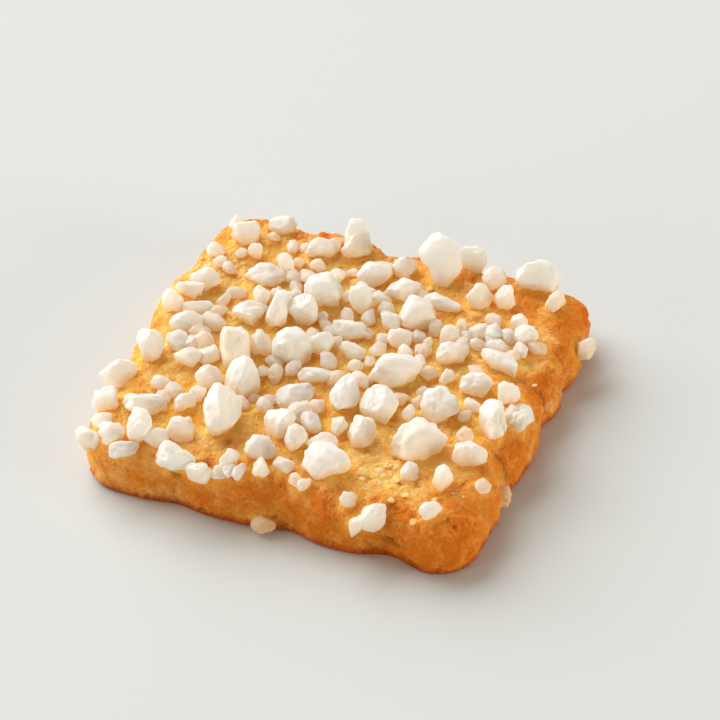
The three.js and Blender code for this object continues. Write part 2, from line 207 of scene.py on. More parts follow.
def draw_facets(draw):
    """Broken faces of a nib: the way each faces and its distance as a share of the nib's radius."""
    facets = []
    for _ in range(FACETS):
        height = between(-1, 1, next(draw))
        angle = 2 * math.pi * next(draw)
        flat = math.sqrt(1 - height ** 2)
        normal = np.array([flat * math.cos(angle), flat * math.sin(angle), height])
        facets.append((normal, between(*FACET_DISTANCES, next(draw))))
    return facets


def draw_form(long, heights, draw):
    """Size, turn, lean and broken faces of a small nib of that length."""
    wide = long * between(*SMALL_WIDTHS, next(draw))
    tall = long * between(*heights, next(draw))
    turn = 180 * next(draw)
    lean = between(*SMALL_LEANS, next(draw))
    return (long, wide, tall), turn, lean, draw_facets(draw)


def draw_place(patch_x, patch_y, reach, draw):
    """A place in a round patch."""
    angle = 2 * math.pi * next(draw)
    distance = reach * math.sqrt(next(draw))
    return np.array([patch_x + distance * math.cos(angle), patch_y + distance * math.sin(angle)])


def resting_place(x, y, tall):
    """The middle of a nib that has sunk into the crust there."""
    return np.array([x, y, crust_height(np.array([[x, y]]))[0] + (0.5 - SUNK_SHARE) * tall])


def footprint(size):
    """Mean radius of a nib seen from above."""
    return (size[0] + size[1]) / 4


def roomiest_place(patch_x, patch_y, reach, size, draw, nibs):
    """The place in a patch with most room round it, or None where every place tried is taken."""
    taken = np.array([nib.place[:2] for nib in nibs])
    footprints = np.array([footprint(nib.size) for nib in nibs])
    best_room = -SMALL_OVERLAP
    best_place = None
    for _ in range(PLACES_TRIED):
        place = draw_place(patch_x, patch_y, reach, draw)
        room = (np.linalg.norm(taken - place, axis=1) - footprints).min() - footprint(size)
        if room > best_room and inward_of(place[None])[0] > RIM_CLEARANCE:
            best_room = room
            best_place = place
    return best_place


def place_nibs():
    """All the nibs, as they were strewn on the dough: large ones, perched ones, then small ones."""
    draw = make_draw(NIB_SEED)
    nibs = []
    for x, y, long, wide, shown, turn in LARGE_NIBS:
        tall = shown / (1 - SUNK_SHARE)
        nibs.append(Nib(resting_place(x, y, tall), (long, wide, tall), turn, 0, 0, draw_facets(draw)))
    for x, y, z, long, wide, tall, turn, lean, taper in PERCHED_NIBS:
        nibs.append(Nib(np.array([x, y, z]), (long, wide, tall), turn, lean, taper, draw_facets(draw)))
    for patch_x, patch_y, reach, number, longest in PATCHES:
        for i in range(number):
            long = longest * between(1, SMALL_SHORTEST, (i + next(draw)) / number)
            size, turn, lean, facets = draw_form(long, SMALL_HEIGHTS, draw)
            place = roomiest_place(patch_x, patch_y, reach, size, draw, nibs)
            if place is not None:
                nibs.append(Nib(resting_place(*place, size[2]), size, turn, lean, 0, facets))
    return nibs


def nib_turn(nib):
    """A nib's turn about the upright and lean about its long way, as a matrix."""
    turned = Matrix.Rotation(math.radians(nib.turn), 3, "Z")
    return np.array(turned @ Matrix.Rotation(math.radians(nib.lean), 3, "X"))


def gridded_box(steps):
    """Corners and outward faces of a box from -1 to 1, with that many steps along x, y and z."""
    counts = [step + 1 for step in steps]
    lattice = np.arange(math.prod(counts)).reshape(counts)
    quads = []
    for axis in range(3):
        layers = lattice.transpose(axis, (axis + 1) % 3, (axis + 2) % 3)
        for end, order in ((0, (0, 3, 2, 1)), (-1, (0, 1, 2, 3))):
            face = layers[end]
            ring = np.stack([face[:-1, :-1], face[1:, :-1], face[1:, 1:], face[:-1, 1:]], -1)
            quads.append(ring.reshape(-1, 4)[:, order])
    used, faces = np.unique(np.concatenate(quads), return_inverse=True)
    corners = 2 * np.stack(np.unravel_index(used, counts), -1) / np.array(steps) - 1
    return corners, faces.reshape(-1, 4)


def dough_form(corners):
    """The dough's smooth form: rings that follow the edge, with its section rounded at rim and foot.
    Also gives how far each point lies inside the edge."""
    square = between(corners[:, :2], np.sin(corners[:, :2] * math.pi / 2), EDGE_CROWDING)
    ring = np.abs(square).max(axis=1)
    height = between(UNDERSIDE, THICKNESS, (corners[:, 2] + 1) / 2)
    inward = HALF_SIDE * (1 - ring)
    upper = height > THICKNESS / 2
    radius = np.where(upper, RIM_RADIUS, FOOT_RADIUS)
    depth = np.where(upper, THICKNESS - height, height - UNDERSIDE)
    across = radius - np.minimum(inward, radius)
    upright = radius - np.minimum(depth, radius)
    pull = 1 - radius / np.maximum(np.hypot(across, upright), radius)
    rounded_depth = depth + upright * pull
    bulge = WALL_BULGE * np.sin(math.pi * height / THICKNESS) * across / radius
    scale = 1 - (inward + across * pull - bulge) / HALF_SIDE
    edge = edge_points(square * (HALF_SIDE / np.maximum(ring, TINY))[:, None])
    plan = edge * scale[:, None]
    lift = swell(plan) * (radius - across) / radius
    z = np.where(upper, THICKNESS - rounded_depth + lift, UNDERSIDE + rounded_depth)
    return np.column_stack([plan, np.maximum(z, 0)]), inward


# Crumb of the crust: lumps, crags and rounded granules, with their sizes and heights. A mean is taken off
# its pattern, so that the crust keeps its level.
LUMP_SIZE = 2.6
LUMP_HEIGHT = 0.28
LUMP_OCTAVES = 4
CRAG_SIZE = 1.9
CRAG_HEIGHT = 0.45
CRAG_MEAN = 0.4
CRAG_OCTAVES = 3
GRANULE_SIZE = 0.85
GRANULE_HEIGHT = 0.16
GRANULE_MEAN = 0.5

# Each octave of a lumpy pattern is finer than the one before by the gap, and weaker by the falloff
FRACTAL_FALLOFF = 1
FRACTAL_GAP = 2

# Open pits: their spacing, reach as a share of it, depth, how far their outlines swerve and how much
# painted shade darkens them. A place has a pit if its random number, from -1 to 1, is under the level, as
# about half are.
PIT_SPACING = 2.3
PIT_REACH = 0.28
PIT_DEPTH = 0.3
PIT_SWERVE = 0.6
PIT_SHADE = 0.3
PIT_LEVEL = 0.03

# Height over the tray up to which the crumb fades away, since the tray pressed it flat
FLAT_FOOT = 0.6

# Cracks where the crust split over a scallop as it dried: the way the crust faces there and both ends
CRACKS = [
    ((0, -1, 0), (14.8, 0, 3.2), (17.2, 0, 2.8)), ((0, -1, 0), (-12.6, 0, 5.4), (-11.4, 0, 4.4)),
    ((1, 0, 0), (0, -8.9, 7.2), (0, -8.4, 2.6)), ((1, 0, 0), (0, 4.6, 6.8), (0, 5, 3)),
    ((1, 0, 0), (0, 12.5, 6.4), (0, 12.1, 3.6)), ((0, 1, 0), (-2.6, 0, 6.8), (-2.4, 0, 3.4)),
]
CRACK_WIDTH = 0.28
CRACK_DEPTH = 0.4
CRACK_SWERVE = 0.6

# The part of a half wave that a crack's depth follows along it, so that its ends are shallow
CRACK_WAVE = (0.1, 0.9)

# Seed of the swerves. Without it they would follow the clock and change from run to run.
SWERVE_SEED = 4409


def crumb_relief(points):
    """Height of the crumb over the smooth form, and how deep in a pit each point lies (0 to 1)."""
    heights = np.zeros(len(points))
    pits = np.zeros(len(points))
    for i, point in enumerate(points):
        place = Vector(point)
        lumps = noise.fractal(place / LUMP_SIZE, FRACTAL_FALLOFF, FRACTAL_GAP, LUMP_OCTAVES)
        granule = GRANULE_MEAN - noise.voronoi(place / GRANULE_SIZE)[0][0]
        crags = noise.turbulence(place / CRAG_SIZE, CRAG_OCTAVES, True) - CRAG_MEAN
        heights[i] = LUMP_HEIGHT * lumps + CRAG_HEIGHT * crags + GRANULE_HEIGHT * granule
        swerve = PIT_SWERVE * noise.noise_vector(place / GRANULE_SIZE)
        distances, centres = noise.voronoi((place + swerve) / PIT_SPACING)
        if noise.cell(centres[0]) < PIT_LEVEL:
            pits[i] = max(0, 1 - (distances[0] / PIT_REACH) ** 2)
    firm = ease(0, FLAT_FOOT, points[:, 2])
    return heights * firm, pits * firm


def crack_depths(points):
    """How deep in a crack each point lies (0 to 1)."""
    swerve = CRACK_SWERVE * np.array([noise.noise_vector(Vector(point)) for point in points])
    depths = np.zeros(len(points))
    for out, start, end in CRACKS:
        along = np.array(end) - start
        flat = points + swerve - ((points + swerve) @ np.array(out))[:, None] * out
        share = np.clip((flat - start) @ along / (along @ along), 0, 1)
        gap = np.linalg.norm(flat - start - share[:, None] * along, axis=1)
        outside = points @ np.array(out) > HALF_SIDE - RIM_RADIUS
        depth = np.exp(-((gap / CRACK_WIDTH) ** 2)) * np.sin(math.pi * between(*CRACK_WAVE, share))
        depths = np.maximum(depths, np.where(outside, depth, 0))
    return depths


def nib_gap(points, nib):
    """Rough distance from points to a nib, taken as a rounded lump. It is negative inside."""
    half = np.array(nib.size) / 2
    local = (points - nib.place) @ nib_turn(nib) / half
    return (np.linalg.norm(local, axis=1) - 1) * half.mean()


# The crust stands up in a low lip round each nib. Close to a nib it is a brighter gold, partly as crust
# sheltered from the oven, partly as painted light that comes through the sugar into the gaps.
LIP_HEIGHT = 0.2
LIP_WIDTH = 0.5
SHELTER_AND_LIGHT_REACH = 0.9

# Browning of the crust: where it fades, inwards from the rim and upwards from the tray, in millimetres,
# and the share that the walls have. Near the tray the darker foot is partly painted shade.
RIM_BROWNING = (0.2, 5.0)
FOOT_BROWNING_AND_SHADE = (0.1, 1.8)
WALL_BROWNING = 0.88

# Places that the oven browned more, and paler ones: x, y, reach and strength. The pale ones on the left
# side, at the front-left foot, on the right wall and in the middle are painted light, for places that are
# lit more or gaps that the nibs shade; the two by the front right are a pale patch of the crumb itself.
OVEN_AND_LIGHT_SPOTS = [
    (22, -22, 7, 0.55), (21, 6, 6, 0.35), (20, 20, 7, 0.8), (-17, 19, 6, 0.35), (22, -8, 4, 0.2),
    (14, -19.5, 3.5, -0.5), (9, -18, 3, -0.3), (-24, 8, 9, -0.75), (-26, -12, 8, -0.6),
    (-4, 2, 11, -0.3), (10, 20, 8, 0.35), (12, 9, 7, 0.2), (0, -20, 10, 0.35), (18, -16, 6, 0.3),
    (-20, -26, 9, -0.35), (27, 10, 10, -0.4),
]


def add_mesh(name, points, faces):
    """A smooth mesh object from points in millimetres."""
    mesh = bpy.data.meshes.new(name)
    mesh.from_pydata(points * MM, [], faces)
    mesh.shade_smooth()
    piece = bpy.data.objects.new(name, mesh)
    bpy.context.scene.collection.objects.link(piece)
    return piece


def add_attribute(piece, name, values):
    """A value for each point of a piece, for its material to read."""
    attribute = piece.data.attributes.new(name, "FLOAT", "POINT")
    attribute.data.foreach_set("value", values.astype(np.float32))


nibs = place_nibs()
dough_corners, dough_faces = gridded_box(DOUGH_STEPS)
dough_points, dough_inward = dough_form(dough_corners)
gap_to_nibs = np.full(len(dough_points), HALF_SIDE)
for nib in nibs:
    gap_to_nibs = np.minimum(gap_to_nibs, nib_gap(dough_points, nib))
gap_to_nibs = np.maximum(gap_to_nibs, 0)

dough = add_mesh("baked_dough", dough_points, dough_faces)
dough_normals = np.zeros(dough_points.size)
dough.data.vertices.foreach_get("normal", dough_normals)
noise.seed_set(SWERVE_SEED)
crumb, pits = crumb_relief(dough_points)
cracks = crack_depths(dough_points)
lips = np.exp(-((gap_to_nibs / LIP_WIDTH) ** 2))
dough_relief = crumb + LIP_HEIGHT * lips - PIT_DEPTH * pits - CRACK_DEPTH * cracks
dough_points = dough_points + dough_relief[:, None] * dough_normals.reshape(-1, 3)
dough.data.vertices.foreach_set("co", (dough_points * MM).ravel())
dough.data.update()

browning_and_light = 1 - ease(*RIM_BROWNING, dough_inward)
wall_top = THICKNESS - RIM_RADIUS
down_wall = ease(wall_top, wall_top - RIM_RADIUS, dough_points[:, 2])
browning_and_light = between(browning_and_light, WALL_BROWNING, down_wall)
# Some pale spots are painted light, where the crust is lit more or lies in the nibs' shade.
for x, y, reach, strength in OVEN_AND_LIGHT_SPOTS:
    distance = np.linalg.norm(dough_points[:, :2] - (x, y), axis=1)
    browning_and_light = browning_and_light + strength * np.exp(-((distance / reach) ** 2))
add_attribute(dough, "browning_and_light", np.clip(browning_and_light, 0, 1))
# Darker towards the tray: browning from the tray, and partly painted shade at the foot.
add_attribute(dough, "scorch_and_shade", 1 - ease(*FOOT_BROWNING_AND_SHADE, dough_points[:, 2]))
# Painted light: close to a nib the crust is painted brighter for light through the sugar, and paler for
# the shelter from the oven.
add_attribute(dough, "shelter_and_light", np.exp(-gap_to_nibs / SHELTER_AND_LIGHT_REACH))
# Painted shade: pits and cracks are darkened, for the shade in them.
add_attribute(dough, "hollow_shade", np.maximum(PIT_SHADE * pits, cracks))


def linear(hex_colour):
    """An sRGB hex colour as linear red, green, blue and alpha."""
    channels = [int(hex_colour[i:i + 2], 16) / 255 for i in (1, 3, 5)]
    return [c / 12.92 if c <= 0.04045 else ((c + 0.055) / 1.055) ** 2.4 for c in channels] + [1]


def add_node(tree, kind, settings, inputs):
    """A node with its settings. An input takes a value or a link, from a socket or from the first live
    output of another node."""
    node = tree.nodes.new(kind)
    for name, value in settings.items():
        setattr(node, name, value)
    sockets = {socket.identifier: socket for socket in node.inputs}
    for name, value in inputs.items():
        if isinstance(value, bpy.types.Node):
            value = next(socket for socket in value.outputs if socket.enabled)
        if isinstance(value, bpy.types.NodeSocket):
            tree.links.new(value, sockets[name])
        else:
            sockets[name].default_value = value
    return node


def new_material(name):
    """An empty node material, its tree and the object coordinates that its patterns use."""
    material = bpy.data.materials.new(name)
    material.use_nodes = True
    tree = material.node_tree
    tree.nodes.clear()
    place = add_node(tree, "ShaderNodeTexCoord", {}, {}).outputs["Object"]
    return material, tree, place


# Butter crust: a dry baked crumb of small granules, matte with a trace of butter, so it shows mottled
# gold, pale and brown specks and little gloss, with painted shade in its pores, pits and cracks. Light
# sinks in, red light deepest, so shaded gaps come out orange.
BUTTER_YELLOW = "#f8ca7a"
GOLDEN = "#f9ac40"
BROWN_CRUST = "#d67410"
SHELTERED_AND_LIT_GOLD = "#ffc256"
SCORCH_AND_SHADE = "#b84a12"
HOLLOW_SHADE_BROWN = "#a8601e"
PALE_CRUMB = "#f4c482"

# Sizes of its patterns in millimetres, from broad clouds of colour to sandy grain
CLOUD_SIZE = 5.0
MOTTLE_SIZE = 2.2
PORE_SPACING = 1.3
PALE_SPOT = 0.7
GRANULE_SPACING = 0.45
CRUMB_GRAIN = 0.4

# The most of a colour that is mixed in: in pale spots, as painted shade in pores, and close to a nib
PALE_SPOT_SHARE = 0.4
PORE_SHADE_SHARE = 0.35
SHELTER_AND_LIGHT_SHARE = 0.75

# What the mottle takes off the browning, before the grain gives some back
UNEVEN_BROWNING = (-0.93, -0.13)

# Height of the fine crumb and depth that light sinks to in millimetres, with red, green and blue shares
CRUST_BUMP = 0.26
LIGHT_DEPTH = 2.4
LIGHT_SPREAD = (1.0, 0.3, 0.1)


def butter_crust():
    material, tree, place = new_material("butter_crust")
    clouds = add_node(tree, "ShaderNodeTexNoise", {}, {
        "Vector": place, "Scale": 1 / (CLOUD_SIZE * MM), "Detail": 4.0, "Roughness": 0.6})
    mottle = add_node(tree, "ShaderNodeTexNoise", {}, {
        "Vector": place, "Scale": 1 / (MOTTLE_SIZE * MM), "Detail": 5.0, "Roughness": 0.62})
    grain = add_node(tree, "ShaderNodeTexNoise", {}, {
        "Vector": place, "Scale": 1 / (CRUMB_GRAIN * MM), "Detail": 2.0, "Roughness": 0.7})
    granules = add_node(tree, "ShaderNodeTexVoronoi", {}, {
        "Vector": place, "Scale": 1 / (GRANULE_SPACING * MM), "Randomness": 1.0})
    cloudy = add_node(tree, "ShaderNodeMapRange", {}, {
        "Value": clouds, "From Min": 0.36, "From Max": 0.64})
    crust = add_node(tree, "ShaderNodeMix", {"data_type": "RGBA"}, {
        "Factor_Float": cloudy, "A_Color": linear(BUTTER_YELLOW), "B_Color": linear(GOLDEN)})
    spots = add_node(tree, "ShaderNodeTexNoise", {}, {
        "Vector": place, "Scale": 1 / (PALE_SPOT * MM), "Detail": 3.0, "Roughness": 0.6})
    pale_spots = add_node(tree, "ShaderNodeMapRange", {}, {
        "Value": spots, "From Min": 0.5, "From Max": 0.72, "To Min": 0.0, "To Max": PALE_SPOT_SHARE})
    crust = add_node(tree, "ShaderNodeMix", {"data_type": "RGBA"}, {
        "Factor_Float": pale_spots, "A_Color": crust, "B_Color": linear(PALE_CRUMB)})
    # Each bit of crumb has baked a little more or less than the next.
    uneven = add_node(tree, "ShaderNodeMapRange", {}, {
        "Value": mottle, "From Min": 0.32, "From Max": 0.68,
        "To Min": UNEVEN_BROWNING[0], "To Max": UNEVEN_BROWNING[1]})
    sandy = add_node(tree, "ShaderNodeMath", {"operation": "ADD"}, {
        "Value": grain, "Value_001": uneven})
    # The browning also holds painted light: pale spots where the crust is lit more or the nibs shade it.
    browned_and_lit = add_node(tree, "ShaderNodeAttribute", {"attribute_name": "browning_and_light"}, {})
    baked = add_node(tree, "ShaderNodeMath", {"operation": "ADD", "use_clamp": True}, {
        "Value": browned_and_lit.outputs["Fac"], "Value_001": sandy})
    crust = add_node(tree, "ShaderNodeMix", {"data_type": "RGBA"}, {
        "Factor_Float": baked, "A_Color": crust, "B_Color": linear(BROWN_CRUST)})
    # Close to a nib: paler crust sheltered from the oven, and painted light that comes through the sugar.
    sheltered_and_lit = add_node(tree, "ShaderNodeAttribute", {"attribute_name": "shelter_and_light"}, {})
    tint_and_light = add_node(tree, "ShaderNodeMath", {"operation": "MULTIPLY"}, {
        "Value": sheltered_and_lit.outputs["Fac"], "Value_001": SHELTER_AND_LIGHT_SHARE})
    crust = add_node(tree, "ShaderNodeMix", {"data_type": "RGBA"}, {
        "Factor_Float": tint_and_light, "A_Color": crust, "B_Color": linear(SHELTERED_AND_LIT_GOLD)})
    # Darker at the foot: browning from the tray, and partly painted shade.
    scorched_and_shaded = add_node(tree, "ShaderNodeAttribute", {"attribute_name": "scorch_and_shade"}, {})
    crust = add_node(tree, "ShaderNodeMix", {"data_type": "RGBA"}, {
        "Factor_Float": scorched_and_shaded.outputs["Fac"], "A_Color": crust, "B_Color": linear(SCORCH_AND_SHADE)})
    # Painted shade: pores, pits and cracks are darkened with a brown, for the shade that falls in them.
    cells = add_node(tree, "ShaderNodeTexVoronoi", {}, {
        "Vector": place, "Scale": 1 / (PORE_SPACING * MM)})
    pores = add_node(tree, "ShaderNodeMapRange", {}, {
        "Value": cells, "From Min": 0.05, "From Max": 0.16, "To Min": PORE_SHADE_SHARE, "To Max": 0.0})
    hollow_shade = add_node(tree, "ShaderNodeAttribute", {"attribute_name": "hollow_shade"}, {})
    painted_hollow_shade = add_node(tree, "ShaderNodeMath", {"operation": "MAXIMUM"}, {
        "Value": hollow_shade.outputs["Fac"], "Value_001": pores})
    crust = add_node(tree, "ShaderNodeMix", {"data_type": "RGBA"}, {
        "Factor_Float": painted_hollow_shade, "A_Color": crust, "B_Color": linear(HOLLOW_SHADE_BROWN)})
    crumbly = add_node(tree, "ShaderNodeMath", {"operation": "SUBTRACT"}, {
        "Value": mottle, "Value_001": granules.outputs["Distance"]})
    rough_crumb = add_node(tree, "ShaderNodeMath", {"operation": "ADD"}, {
        "Value": grain, "Value_001": crumbly})
    relief = add_node(tree, "ShaderNodeMath", {"operation": "SUBTRACT"}, {
        "Value": rough_crumb, "Value_001": pores})
    bump = add_node(tree, "ShaderNodeBump", {}, {
        "Strength": 0.9, "Distance": CRUST_BUMP * MM, "Height": relief})
    roughness = add_node(tree, "ShaderNodeMapRange", {}, {
        "Value": grain, "From Min": 0.3, "From Max": 0.7, "To Min": 0.5, "To Max": 0.75})
    shader = add_node(tree, "ShaderNodeBsdfPrincipled", {}, {
        "Base Color": crust, "Roughness": roughness, "IOR": 1.45, "Specular IOR Level": 0.16,
        "Subsurface Weight": 0.8, "Subsurface Radius": LIGHT_SPREAD, "Subsurface Scale": LIGHT_DEPTH * MM,
        "Normal": bump})
    add_node(tree, "ShaderNodeOutputMaterial", {}, {"Surface": shader})
    return material


dough.data.materials.append(butter_crust())
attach(dough, "root")
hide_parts("biscuit")

# Sugar nibs
# Sugar pressed into blocks, dried and broken into coarse nibs: hard white lumps with flat broken faces
# and worn edges. They were strewn on the raw dough, sank in a little and are held by the baked crust.
LARGE_NIB_COUNT = len(LARGE_NIBS) + len(PERCHED_NIBS)
LARGE_NIB_STEPS = 14
SMALL_NIB_STEPS = 10

# A nib's form: the lump's radius, on the scale of its faces' distances, how sharp the edges between faces
# are, how much fuller it is than its plain size, and the angle from which an edge shows as broken
LUMP_RADIUS = 1.06
EDGE_SHARPNESS = 20
NIB_FULLNESS = 1.06
BROKEN_EDGE = math.radians(30)

# Lumps and grain of its skin, as shares of its radius. The shift gives each nib lumps of its own.
NIB_LUMP_SIZE = 0.6
NIB_LUMP_SHARE = 0.16
NIB_OCTAVES = 3
NIB_GRAIN_SIZE = 0.25
NIB_GRAIN_SHARE = 0.04
LUMP_SHIFT = 17.3

# How high butter soaks, with painted warm light from the dough: at most that many millimetres over the
# crust and that share of the nib's height. On a nib at the biscuit's side it fades between two heights
# over the tray.
SOAK_AND_WARM_LIGHT_HEIGHT = 2.0
SOAK_AND_WARM_LIGHT_SHARE = 0.6
WALL_SOAK_AND_WARM_LIGHT_HEIGHTS = (2.5, 7.5)

# The share of the light that comes through, for the smallest nibs and for large ones, with those lengths
GLOW_SHARES = (0.55, 0.34)
GLOW_LENGTHS = (1.5, 4.5)

# How creamy the nibs are, from 0 for white to 1 for buttered all through
LARGE_NIB_TONES = (0, 0.8)
SMALL_NIB_TONES = (0.05, 0.88)
TONE_SEED = 907


def nib_directions(steps):
    """Even directions all round, and the faces between them."""
    corners, faces = gridded_box((steps, steps, steps))
    spread = np.tan(corners * math.pi / 4)
    return spread / np.linalg.norm(spread, axis=1, keepdims=True), faces


def nib_points(directions, nib, number):
    """A nib's skin: a lump cut by its broken faces, worn and grainy, brought to its size and place."""
    total = np.full(len(directions), LUMP_RADIUS ** -EDGE_SHARPNESS)
    for normal, distance in nib.facets:
        total += (np.maximum(0, directions @ normal) / distance) ** EDGE_SHARPNESS
    points = directions * total[:, None] ** (-1 / EDGE_SHARPNESS)
    low = points.min(axis=0)
    high = points.max(axis=0)
    points = (points - (low + high) / 2) * NIB_FULLNESS * np.array(nib.size) / (high - low)
    shift = Vector((LUMP_SHIFT * number, 0, 0))
    for i, direction in enumerate(directions):
        lump_place = Vector(direction) / NIB_LUMP_SIZE + shift
        lumps = noise.fractal(lump_place, FRACTAL_FALLOFF, FRACTAL_GAP, NIB_OCTAVES)
        grain = noise.noise(Vector(direction) / NIB_GRAIN_SIZE + shift)
        points[i] *= 1 + NIB_LUMP_SHARE * lumps + NIB_GRAIN_SHARE * grain
    points[:, 0] *= 1 + nib.taper * points[:, 2] / (nib.size[2] / 2)
    return points @ nib_turn(nib).T + nib.place


def add_nibs(name, group, steps, first_number, tone_range, draw):
    """One joined mesh of nibs. Each nib has its own tone, lets its own share of light through, and is
    stained from the crust upwards, by butter and by painted warm light from the dough."""
    directions, faces = nib_directions(steps)
    skins = [nib_points(directions, nib, first_number + i) for i, nib in enumerate(group)]
    skin_faces = [faces + i * len(directions) for i in range(len(group))]
    points = np.concatenate(skins)
    piece = add_mesh(name, points, np.concatenate(skin_faces))
    piece.data.set_sharp_from_angle(angle=BROKEN_EDGE)
    tones = np.array([between(*tone_range, next(draw)) for _ in group])
    lengths = np.array([nib.size[0] for nib in group])
    glows = between(*GLOW_SHARES, ease(*GLOW_LENGTHS, lengths))
    # Painted light: the stain near the crust stands partly for butter, partly for warm light from the
    # dough.
    soak_and_warm_light_heights = np.array([min(SOAK_AND_WARM_LIGHT_HEIGHT, SOAK_AND_WARM_LIGHT_SHARE * nib.size[2]) for nib in group])
    over_crust = points[:, 2] - crust_height(points[:, :2])
    soak_and_warm_light = 1 - ease(0, np.repeat(soak_and_warm_light_heights, len(directions)), over_crust)
    wall_soak_and_warm_light = 1 - ease(*WALL_SOAK_AND_WARM_LIGHT_HEIGHTS, points[:, 2])
    on_top = inward_of(points[:, :2]) > 0
    add_attribute(piece, "tone", np.repeat(tones, len(directions)))
    add_attribute(piece, "glow", np.repeat(glows, len(directions)))
    add_attribute(piece, "soak_and_warm_light", np.where(on_top, soak_and_warm_light, wall_soak_and_warm_light))
    return piece


# Pressed sugar: many fine crystals stuck together, chalky and white, with no clear gloss. Light spreads
# inside it, so its shaded side glows. Near the dough it turns cream, where butter soaked in, and with
# painted warm light that the dough sends into it.
SUGAR_WHITE = "#fdfdf5"
SUGAR_CREAM = "#fff9eb"
BUTTER_STAIN_AND_WARM_LIGHT = "#ffdaa2"

# Sizes of its patterns, height of the crystals and depth that light sinks to in millimetres, with the
# shares of that depth for red, green and blue
SUGAR_CLOUD = 1.6
CRYSTAL_GRAIN = 0.3
CRYSTAL_BUMP = 0.12
SUGAR_LIGHT_DEPTH = 0.4
SUGAR_LIGHT_SPREAD = (1.0, 0.8, 0.6)

# The most butter stain: near the crust, where butter soaked in and painted warm light from the dough
# falls, and in nibs of these tones, which took butter up all through
SOAK_AND_WARM_LIGHT_STAIN_SHARE = 0.72
BUTTERED_SHARE = 0.6
BUTTERED_TONES = (0.7, 1.0)


def pressed_sugar():
    material, tree, place = new_material("pressed_sugar")
    clouds = add_node(tree, "ShaderNodeTexNoise", {}, {
        "Vector": place, "Scale": 1 / (SUGAR_CLOUD * MM), "Detail": 2.0, "Roughness": 0.5})
    tone = add_node(tree, "ShaderNodeAttribute", {"attribute_name": "tone"}, {})
    creamy = add_node(tree, "ShaderNodeMath", {"operation": "MULTIPLY", "use_clamp": True}, {
        "Value": tone.outputs["Fac"], "Value_001": clouds})
    sugar = add_node(tree, "ShaderNodeMix", {"data_type": "RGBA"}, {
        "Factor_Float": creamy, "A_Color": linear(SUGAR_WHITE), "B_Color": linear(SUGAR_CREAM)})
    # Painted light: near the crust the stain is partly butter, partly warm light from the dough.
    soak_and_warm_light = add_node(tree, "ShaderNodeAttribute", {"attribute_name": "soak_and_warm_light"}, {})
    soaked_and_warmly_lit = add_node(tree, "ShaderNodeMath", {"operation": "MULTIPLY"}, {
        "Value": soak_and_warm_light.outputs["Fac"], "Value_001": SOAK_AND_WARM_LIGHT_STAIN_SHARE})
    # The creamiest nibs took up butter all through.
    buttered = add_node(tree, "ShaderNodeMapRange", {}, {
        "Value": tone.outputs["Fac"], "From Min": BUTTERED_TONES[0], "From Max": BUTTERED_TONES[1],
        "To Min": 0.0, "To Max": BUTTERED_SHARE})
    tint_and_light = add_node(tree, "ShaderNodeMath", {"operation": "MAXIMUM"}, {
        "Value": soaked_and_warmly_lit, "Value_001": buttered})
    sugar = add_node(tree, "ShaderNodeMix", {"data_type": "RGBA"}, {
        "Factor_Float": tint_and_light, "A_Color": sugar, "B_Color": linear(BUTTER_STAIN_AND_WARM_LIGHT)})
    # Real crystals are near 0.1 mm, too fine to show, so the grain is drawn three times as coarse.
    grain = add_node(tree, "ShaderNodeTexNoise", {}, {
        "Vector": place, "Scale": 1 / (CRYSTAL_GRAIN * MM), "Detail": 2.0, "Roughness": 0.6})
    bump = add_node(tree, "ShaderNodeBump", {}, {
        "Strength": 0.5, "Distance": CRYSTAL_BUMP * MM, "Height": grain})
    roughness = add_node(tree, "ShaderNodeMapRange", {}, {
        "Value": grain, "From Min": 0.3, "From Max": 0.7, "To Min": 0.42, "To Max": 0.62})
    chalk = add_node(tree, "ShaderNodeBsdfPrincipled", {}, {
        "Base Color": sugar, "Roughness": roughness, "IOR": 1.5, "Specular IOR Level": 0.3,
        "Subsurface Weight": 0.4, "Subsurface Radius": SUGAR_LIGHT_SPREAD,
        "Subsurface Scale": SUGAR_LIGHT_DEPTH * MM, "Normal": bump})
    glow = add_node(tree, "ShaderNodeBsdfTranslucent", {}, {"Color": sugar})
    through = add_node(tree, "ShaderNodeAttribute", {"attribute_name": "glow"}, {})
    shader = add_node(tree, "ShaderNodeMixShader", {}, {
        "Fac": through.outputs["Fac"], "Shader": chalk, "Shader_001": glow})
    add_node(tree, "ShaderNodeOutputMaterial", {}, {"Surface": shader})
    return material


sugar = pressed_sugar()
tone_draw = make_draw(TONE_SEED)
large = nibs[:LARGE_NIB_COUNT]
small = nibs[LARGE_NIB_COUNT:]
large_nibs = add_nibs("large_nibs", large, LARGE_NIB_STEPS, 0, LARGE_NIB_TONES, tone_draw)
small_nibs = add_nibs("small_nibs", small, SMALL_NIB_STEPS, LARGE_NIB_COUNT, SMALL_NIB_TONES, tone_draw)
for piece in (large_nibs, small_nibs):
    piece.data.materials.append(sugar)
    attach(piece, "root")
    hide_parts("biscuit")

# Sugar grains
# Broken bits of nib and coarse grains that came off as the sugar was strewn. They lie thickest between
# the nibs, stuck to the buttery crust, and took up more butter than the nibs did.
# Steps of a grain's skin, its least length as a share of its patch's longest, how far it may lie over a
# neighbour, the places tried for it, and how creamy it is
GRAIN_STEPS = 5
GRAIN_SHORTEST = 0.6
GRAIN_OVERLAP = 0.3
GRAIN_TRIES = 30
GRAIN_TONES = (0.35, 0.9)
GRAIN_SEED = 2203

# Where they lie: x, y, reach, number, longest, and how far from a nib they may be
GRAIN_PATCHES = [
    (-23.3, 14.2, 1, 2, 2.4, 9), (-8, 6, 16, 16, 2.4, 0.4), (2, 2, 12, 10, 2.4, 0.4),
    (-12, 18, 8, 4, 2, 2),
]


